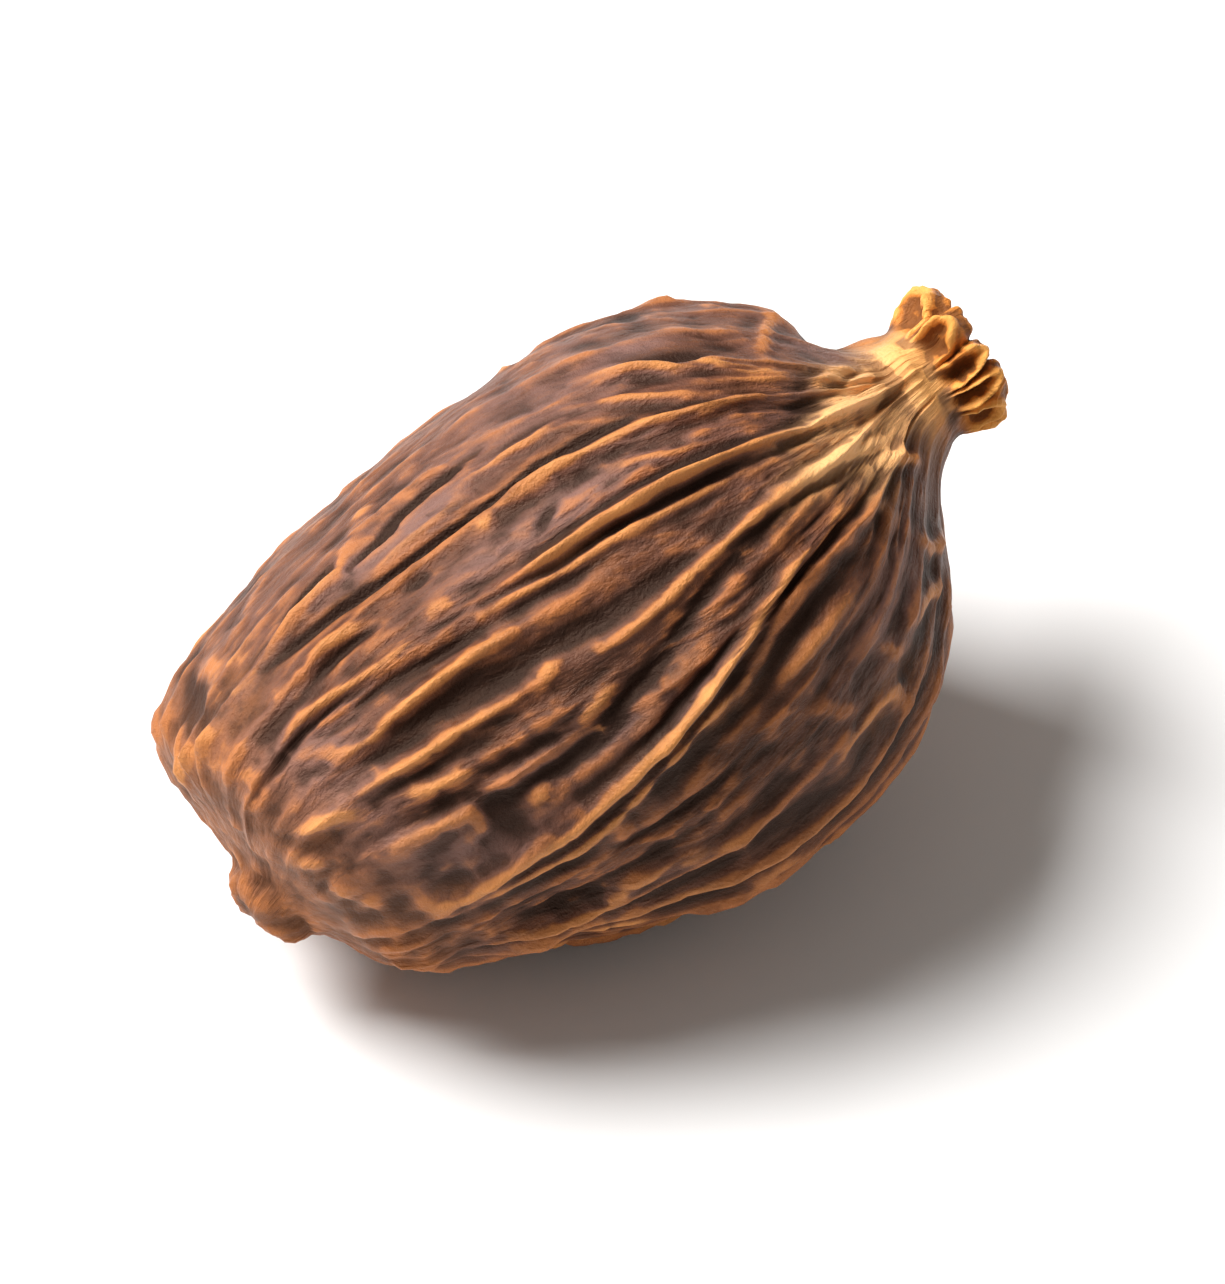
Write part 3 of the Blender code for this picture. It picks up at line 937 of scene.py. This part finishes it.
# %% [markdown]
# ## Laying the pod down
# Each point moves along its normal by the stored height. Then the pod is tilted to the angle at which it
# balances, set down so that its lowest ribs reach a little under the ground, and what is under the ground is
# pressed flat, as on a husk that has lain on one side. It could be placed by hand in the scene, but then a
# changed rib would float or sink.

# %% Displace, tilt, press flat and centre
normal = web.node("GeometryNodeInputNormal")
push = web.scaled(normal, stored * MM)
shape = web.node("GeometryNodeSetPosition", {}, {"Geometry": shape, "Offset": push})
tilt = web.node("ShaderNodeCombineXYZ", {}, {"Y": -size["Rest tilt"]})
shape = web.node("GeometryNodeTransform", {}, {"Geometry": shape, "Rotation": tilt})
extent = {"data_type": "FLOAT_VECTOR", "domain": "POINT"}
least, most = web.node(
    "GeometryNodeAttributeStatistic", extent, {"Geometry": shape, "Attribute": place}, out=("Min", "Max")
)
centring = web.vector("MULTIPLY", web.vector("ADD", least, most), (-0.5, -0.5, 0.0))
lowering = web.vector("MULTIPLY", least, (0.0, 0.0, -1.0))
pressing = web.node("ShaderNodeCombineXYZ", {}, {"Z": -size["Flat depth"]})
move = web.vector("ADD", web.vector("ADD", centring, lowering), pressing)
shape = web.node("GeometryNodeSetPosition", {}, {"Geometry": shape, "Offset": move})
x, y, z = web.node("ShaderNodeSeparateXYZ", {}, {"Vector": place}, out=("X", "Y", "Z"))
pressed = web.node("ShaderNodeCombineXYZ", {}, {"X": x, "Y": y, "Z": z.math("MAXIMUM", 0.0)})
shape = web.node("GeometryNodeSetPosition", {}, {"Geometry": shape, "Position": pressed})
shape = web.node("GeometryNodeRealizeInstances", {}, {"Geometry": shape})
shape = web.node("GeometryNodeSetMaterial", {}, {"Geometry": shape, "Material": size["Finish"]})
web.node("NodeGroupOutput", {}, {"Geometry": shape}, out=())
progress("laying down")

# %% [markdown]
# ## The dry husk's finish: what it reads
# The husk is one material, because it is one skin. It could be painted on an image, but then it would not
# follow a changed rib. The relief tree stored where the skin stands proud (crest), lies low (hollow) or is
# pale from wear and a painted highlight, the warm, cool and golden zones, and the painted shade zones, so the
# finish begins by reading those.

# %% Read the stored values
finish = bpy.data.materials.new("dry_husk")
finish.use_nodes = True
paint = Web(finish.node_tree)


def seen(name, out="Fac"):
    return paint.node("ShaderNodeAttribute", {"attribute_name": name}, {}, out=out)


along, within = seen("share"), seen("inside")
crest, hollow, pale = seen("crest"), seen("hollow"), seen("pale")
warm, cool, golden, dusky = (seen(name) for name in zones)
strand_place = seen("strand", "Vector")
skin_place = paint.scaled(paint.node("ShaderNodeTexCoord", {}, {}, out="Object"), 1 / MM)
print("nodes that read the skin:", len(paint.tree.nodes))

# %% [markdown]
# ## Streaks, hairs and mottling
# Dried fibres leave dark streaks and fine hairs that run with the ribs, and the skin between is mottled and
# grainy. One noise could serve for all, but each has its own size and direction. Streaks and hairs use the
# strand coordinate, mottling and grain the plain place, and mottling replaces streaks on the blunt end.

# %% Patterns of the skin
wriggly_strand = paint.wavy(strand_place, (0.55, 0.40), seed=27, reach=0.9)
tone = paint.noise(strand_place, (0.22, 0.07), seed=21)
mottle = paint.noise(skin_place, (0.9, 0.9), seed=24, detail=4.0, rough=0.6)
grain = paint.noise(skin_place, (6.0, 6.0), seed=25, detail=3.0, rough=0.7)
creases = paint.noise(wriggly_strand, (1.3, 0.50), seed=26, detail=3.0).ridge(3.0)
hairs = paint.noise(wriggly_strand, (4.0, 0.90), seed=23, detail=3.0, rough=0.6)
blunt = 1 - along.rise(0.04, 0.18)
streaks = paint.noise(wriggly_strand, (1.7, 0.28), seed=22, detail=4.0, rough=0.65)
streaks = streaks + (mottle - streaks) * (blunt * 0.8 + along.rise(0.80, 0.90) * 0.5)
crest = crest + (streaks - 0.5) * 0.35 + (hairs - 0.5) * 0.30
print("with its patterns:", len(paint.tree.nodes), "nodes")

# %% [markdown]
# ## Skin, valleys and worn crests
# The skin is brown to mauve with dark streaks, and tan or rose on its rubbed crests; painted shade makes the
# valleys nearly black and darkens the painted shade zones. A ramp of colours could do it, but layers are
# easier to follow: first the skin, then the painted valley shade, then wear on the crests, and last the
# palest folds, worn and with a painted highlight, and small dark pits.

# %% Colours of the skin
FLANK_BROWN = (0.125, 0.040, 0.016)
FLANK_MAUVE = (0.210, 0.108, 0.088)
STREAK_DARK = (0.045, 0.017, 0.011)
# Nearly black: the colour of the painted shade in the valleys.
VALLEY_PAINTED_SHADE = (0.016, 0.006, 0.004)
CREST_TAN = (0.440, 0.152, 0.048)
CREST_ROSE = (0.400, 0.158, 0.075)
PALE_TAN = (0.780, 0.330, 0.098)
BASE_TAN = (0.340, 0.126, 0.048)
PIT_BROWN = (0.035, 0.012, 0.007)


def mixed(first, second, amount):
    """The first colour where the amount is 0, the second where it is 1."""
    colours = {"A": first, "B": second, "Factor": amount}
    for name in "AB":
        if isinstance(colours[name], tuple):
            colours[name] = (*colours[name], 1.0)
    return paint.node("ShaderNodeMix", {"data_type": "RGBA", "clamp_factor": True}, colours)


mauve = tone.rise(0.35, 0.65) * 0.4 + cool * 0.8 + (mottle - 0.5) * 0.8
colour = mixed(FLANK_BROWN, FLANK_MAUVE, mauve)
colour = mixed(colour, BASE_TAN, blunt * (mottle * 0.6 + 0.3) * (1 - cool * 0.6))
# Dark streaks are the skin's own; the painted shade zones add painted shade in the same dark colour.
colour = mixed(colour, STREAK_DARK, streaks.rise(0.50, 0.72) * (0.75 - blunt * 0.3) + dusky * 0.55)
colour = mixed(colour, CREST_TAN, streaks.rise(0.46, 0.32) * (warm * 0.6 + 0.22))
# Painted shade: valleys and the dips beside the crests are darkened nearly to black, where shade falls; less
# on the blunt end, the neck and the golden zones.
valley_shade_amount = 0.85 - blunt * 0.4 - golden * 0.65 - along.rise(0.81, 0.85) * 0.35
colour = mixed(colour, VALLEY_PAINTED_SHADE, hollow.rise(0.52, 0.95) * valley_shade_amount)
colour = mixed(colour, VALLEY_PAINTED_SHADE, crest.rise(0.46, 0.08) * (0.65 - blunt * 0.3 - golden * 0.6))
worn = crest.rise(0.44, 1.05) * (mottle.rise(0.30, 0.70) * 0.5 + creases * 0.3 + 0.45)
# Less wear shows in the painted shade zones, as part of that painted shade.
worn = worn * (1 - streaks.rise(0.50, 0.70) * 0.45) * (1 - dusky * 0.35)
crest_colour = mixed(CREST_TAN, CREST_ROSE, cool)
colour = mixed(colour, crest_colour, worn + warm * mottle.rise(0.30, 0.70) * 0.5)
# Painted highlight: the tops of drawn folds and warm patches turn pale tan, partly worn skin and partly the
# light on a lit crest.
colour = mixed(colour, PALE_TAN, pale * crest.rise(0.55, 1.05) * (mottle * 0.7 + hairs * 0.6 + 0.15))
colour = mixed(colour, PALE_TAN, warm * crest.rise(0.50, 1.00) * 0.35)
colour = mixed(colour, PIT_BROWN, grain.rise(0.62, 0.74) * 0.45)
print("with the skin's colours:", len(paint.tree.nodes), "nodes")

# %% [markdown]
# ## Neck, crown and mouth
# The neck is cream with a painted highlight on its crests, the crown golden on its loops with a painted
# highlight on their rims and painted shade in their hollows, and the mouth painted nearly black as shade.
# They could be a second material, but on the husk one colour fades into the next, so they are mixed in over
# the same skin along the share.

# %% Colours of the neck and crown
NECK_CREAM = (1.000, 0.530, 0.215)
CROWN_TAN = (0.680, 0.235, 0.042)
CROWN_GOLD = (0.980, 0.450, 0.105)
CROWN_PAINTED_SHADE = (0.230, 0.080, 0.022)
MOUTH_PAINTED_SHADE = (0.030, 0.011, 0.006)

# Painted highlight: the cream is laid on most strongly along the neck's crests, over its own pale colour.
cream = mixed(NECK_CREAM, CROWN_GOLD, along.rise(0.880, 0.915) * 0.5)
colour = mixed(colour, cream, golden * (crest.rise(0.20, 0.60) * 0.85 + 0.30) * (tone * 0.6 + 0.9))
# Painted shade and highlight: the crown's low parts take a shaded brown and its rims a lit gold, over its own
# tan.
crown = mixed(CROWN_PAINTED_SHADE, CROWN_TAN, crest.rise(0.25, 0.60) * 0.9 + (mottle - 0.45) * 0.6)
crown = mixed(crown, CROWN_GOLD, crest.rise(0.60, 1.0) * 0.8)
colour = mixed(colour, crown, along.rise(0.925, 0.945))
# Painted shade: the inside of the mouth turns nearly black, as shade in the hollow.
colour = mixed(colour, MOUTH_PAINTED_SHADE, within * (1 - along.rise(0.965, 1.0)))
print("with the crown's colours:", len(paint.tree.nodes), "nodes")

# %% [markdown]
# ## Sheen and the finest grain
# A dry husk is dull, a little shinier on its rubbed crests, and rough with hairs too fine for the mesh. More
# points could carry them, but a bump is enough for what casts no shadow that you can see.

# %% Shader
SHEEN_TINT = (1.0, 0.74, 0.56, 1.0)

roughness = 0.46 + (mottle - 0.5) * 0.30 - crest.rise(0.55, 0.95) * 0.06 + hollow.rise(0.5, 1.0) * 0.12
height = hairs * 0.6 + grain * 0.50 + streaks * 0.6 + creases * 0.3
bumpy = paint.node("ShaderNodeBump", {}, {"Strength": 0.75, "Distance": 0.00024, "Height": height})
looks = {"Base Color": colour, "Roughness": roughness, "Normal": bumpy}
looks |= {"Specular IOR Level": 0.27, "Specular Tint": SHEEN_TINT}
shader = paint.node("ShaderNodeBsdfPrincipled", {}, looks)
paint.node("ShaderNodeOutputMaterial", {}, {"Surface": shader}, out=())
print("husk finish:", len(paint.tree.nodes), "nodes")

# %% [markdown]
# ## Run the relief and keep a plain mesh
# A modifier's inputs are set by their identifiers before it runs for the first time. The result is copied
# to a mesh with no modifier left on it, which then rides on the model's body in place of the plain solid.

# %% Make the husk
modifier = blank.modifiers.new("relief", "NODES")
modifier.node_group = relief_tree
wanted = {"Lines": lines, "Finish": finish, **RELIEF_SIZES}
for socket in relief_tree.interface.items_tree:
    if socket.in_out == "INPUT" and socket.name in wanted:
        modifier[socket.identifier] = wanted[socket.name]
evaluated = blank.evaluated_get(bpy.context.evaluated_depsgraph_get())
husk = bpy.data.objects.new("nutmeg_husk", bpy.data.meshes.new_from_object(evaluated))
husk.data.shade_smooth()
bpy.context.scene.collection.objects.link(husk)
for guide in (blank, lines):
    bpy.data.objects.remove(guide)
triangles = sum(len(polygon.vertices) - 2 for polygon in husk.data.polygons)
print("husk:", triangles, "triangles, materials:", [m.name for m in husk.data.materials])

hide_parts("nutmeg_pod")
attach(husk, "root")

# %% [markdown]
# ## Floor
# A product table is a sheet of pale paper. A studio bend behind it would hide the horizon, but the camera
# looks down so far that a flat sheet fills the picture.

# %% Floor
FLOOR_SIZE = 3.0
PAPER_WHITE, PAPER_ROUGHNESS = (0.90, 0.89, 0.88, 1.0), 0.9


def floor_sheet():
    mesh = bpy.data.meshes.new("floor")
    half = FLOOR_SIZE / 2
    corners = [(-half, -half, 0), (half, -half, 0), (half, half, 0), (-half, half, 0)]
    mesh.from_pydata(corners, [], [(0, 1, 2, 3)])
    sheet = bpy.data.objects.new("floor", mesh)
    paper = bpy.data.materials.new("floor_paper")
    paper.use_nodes = True
    shader = paper.node_tree.nodes["Principled BSDF"]
    shader.inputs["Base Color"].default_value = PAPER_WHITE
    shader.inputs["Roughness"].default_value = PAPER_ROUGHNESS
    mesh.materials.append(paper)
    bpy.context.scene.collection.objects.link(sheet)


floor_sheet()
print("floor:", FLOOR_SIZE, "m wide")

# %% [markdown]
# ## Light
# A large soft lamp high on the left, a little behind the pod, rakes over the ribs, so that each one has a lit
# and a shaded side. A sun would cut hard shadows, and a lamp at the camera would flatten the ribs. A weak
# lamp opposite and a faint warm sky fill the shadows.

# %% Lamps and sky
AIM = Vector((0.0, 0.0, 0.0120))
KEY_PLACE, KEY_SIZE, KEY_POWER = (-0.20, 0.23, 0.48), 0.32, 6.2
FILL_PLACE, FILL_SIZE, FILL_POWER = (0.35, -0.40, 0.30), 0.50, 0.15
SKY_COLOUR, SKY_STRENGTH = (1.0, 0.94, 0.88, 1.0), 0.22


def pointed(thing, target):
    thing.rotation_euler = (target - thing.location).to_track_quat("-Z", "Y").to_euler()


def lamp(name, location, width, power):
    light = bpy.data.lights.new(name, "AREA")
    light.size, light.energy = width, power
    thing = bpy.data.objects.new(name, light)
    thing.location = location
    pointed(thing, AIM)
    bpy.context.scene.collection.objects.link(thing)


lamp("key", KEY_PLACE, KEY_SIZE, KEY_POWER)
lamp("fill", FILL_PLACE, FILL_SIZE, FILL_POWER)
world = bpy.data.worlds.new("studio")
world.use_nodes = True
sky = world.node_tree.nodes["Background"]
sky.inputs["Color"].default_value = SKY_COLOUR
sky.inputs["Strength"].default_value = SKY_STRENGTH
bpy.context.scene.world = world

# %% [markdown]
# ## Camera
# The camera looks down from the front left, so that the crown points up to the right. A short lens close by
# would swell the near ribs, so a long one stands well back.

# %% Camera
CAMERA_AZIMUTH, CAMERA_ELEVATION = math.radians(-33), math.radians(50)
CAMERA_DISTANCE = 0.60
VIEW_HEIGHT = 0.0575
SENSOR = 36

lens = bpy.data.cameras.new("camera")
lens.sensor_width = SENSOR
lens.lens = SENSOR * CAMERA_DISTANCE / VIEW_HEIGHT
camera = bpy.data.objects.new("camera", lens)
back = Vector((
    math.sin(CAMERA_AZIMUTH) * math.cos(CAMERA_ELEVATION),
    -math.cos(CAMERA_AZIMUTH) * math.cos(CAMERA_ELEVATION),
    math.sin(CAMERA_ELEVATION),
))
camera.location = AIM + back * CAMERA_DISTANCE
pointed(camera, AIM)
bpy.context.scene.collection.objects.link(camera)
bpy.context.scene.camera = camera
bpy.context.scene.view_settings.view_transform = "Standard"
print("lens:", round(lens.lens), "mm")
